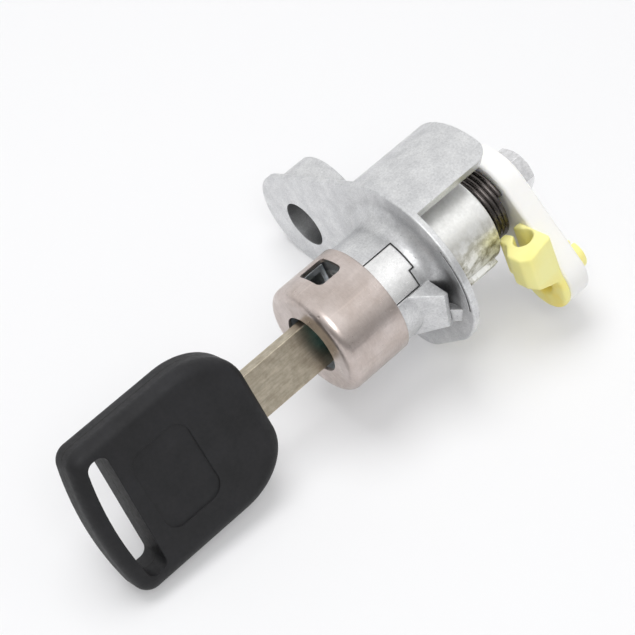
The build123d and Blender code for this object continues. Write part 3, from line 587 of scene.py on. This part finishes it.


# Most materials below paint shade into their creases, and some paint a highlight on their edges
ZINC = metal("zinc_cast", (0.75, 0.755, 0.76), (0.62, 0.625, 0.635), 0.42, grain=2600,
             depth=0.00003, patches=300, grit=0.13, crease_shade=0.75, reach=0.010, rim_highlight=1.22, scratch=0.05,
             pits=(0.0013, (0.40, 0.40, 0.41)))
CAP = metal("cap_steel", (0.63, 0.56, 0.53), (0.50, 0.43, 0.395), 0.32, grain=2600,
            stretch=(0.35, 1, 0.35), patches=190, crease_shade=0.5, rim_highlight=1.25, scratch=0.08,
            pits=(0.0030, (0.38, 0.33, 0.30)))
SLEEVE = metal("plated_sleeve", (1.0, 1.0, 0.98), (0.84, 0.84, 0.82), 0.38, grain=1500, crease_shade=0.1,
               depth=0.000015, patches=380, stain_and_shade=((0.14, 0.12, 0.04), 0.005, -0.003), metallic=0.7)
PLATE = metal("bright_plate", (0.95, 0.95, 0.945), (0.78, 0.78, 0.78), 0.30, patches=420, grit=0.10)
PLUG = metal("plug_zinc", (0.66, 0.66, 0.66), (0.54, 0.54, 0.54), 0.40)
BRASS = metal("wafer_brass", (0.80, 0.63, 0.30), (0.70, 0.53, 0.24), 0.35, crease_shade=0)
WIRE = metal("spring_wire", (0.55, 0.55, 0.56), (0.45, 0.45, 0.46), 0.35, crease_shade=0)
BLACK_WIRE = metal("black_wire", (0.14, 0.125, 0.12), (0.06, 0.055, 0.05), 0.26, crease_shade=0)
DARK = metal("dark_housing", (0.92, 0.95, 0.97), (0.55, 0.57, 0.59), 0.32, patches=300, rim_highlight=1.15)
TEAL = metal("teal_shutter", (0.20, 0.86, 1.0), (0.05, 0.33, 0.46), 0.30, patches=520, crease_shade=0,
             metallic=0.4)
BOLT = metal("bolt_plated", (0.86, 0.86, 0.87), (0.62, 0.62, 0.63), 0.15, patches=350, rim_highlight=1.25)
BLADE = metal("blade_nickel", (0.52, 0.465, 0.37), (0.40, 0.35, 0.27), 0.34, grain=2400,
              stretch=(1, 0.16, 1), patches=600, grit=0.14, rim_highlight=1.45, scratch=0.20)
NYLON = plastic("lever_nylon", (0.97, 0.96, 0.94), (0.95, 0.94, 0.91), 0.42,
                Subsurface_Weight=0.2, Subsurface_Scale=0.002, Subsurface_Radius=(1.0, 0.9, 0.75))
# The clip's colour deepens to gold towards its lower end: painted shade
YELLOW = plastic("clip_yellow", (1.0, 0.95, 0.42), (1.0, 0.92, 0.34), 0.42,
                 stain_and_shade=((0.98, 0.79, 0.15), -0.0125, -0.0165),
                 Subsurface_Weight=0.15, Subsurface_Scale=0.001, Subsurface_Radius=(1.0, 0.9, 0.3))
BLACK = plastic("key_black", (0.015, 0.015, 0.017), (0.009, 0.009, 0.010), 0.58, grain=1300,
                depth=0.00003, seam=0.00022, Specular_IOR_Level=0.35)

FINISH = {
    "lock_body": ZINC, "face_cap": CAP, "stator": SLEEVE, "retainer_plate": PLATE, "plug": PLUG,
    "plug_circlip": WIRE, "wafer_springs": WIRE, "shutter_housing": DARK, "shutter_pin": WIRE,
    "dust_shutter": TEAL, "shutter_spring": WIRE, "torsion_spring": BLACK_WIRE, "lever": NYLON,
    "lever_washer": BOLT, "lever_bolt": BOLT, "rod_clip": YELLOW, "key_blade": BLADE,
    "key_head_front": BLACK, "key_head_back": BLACK,
}
# The six wafers are the nodes that the list above leaves out
for name in nodes:
    dress(name, FINISH.get(name, BRASS))

moulded_clip()
twisting_spring()
add_camera()
add_world()
add_table()
add_area("key_light", KEY_PLACE, KEY_SIZE, KEY_POWER, False)
add_area("fill_light", FILL_PLACE, FILL_SIZE, FILL_POWER, True)

scene.view_settings.view_transform = "Standard"
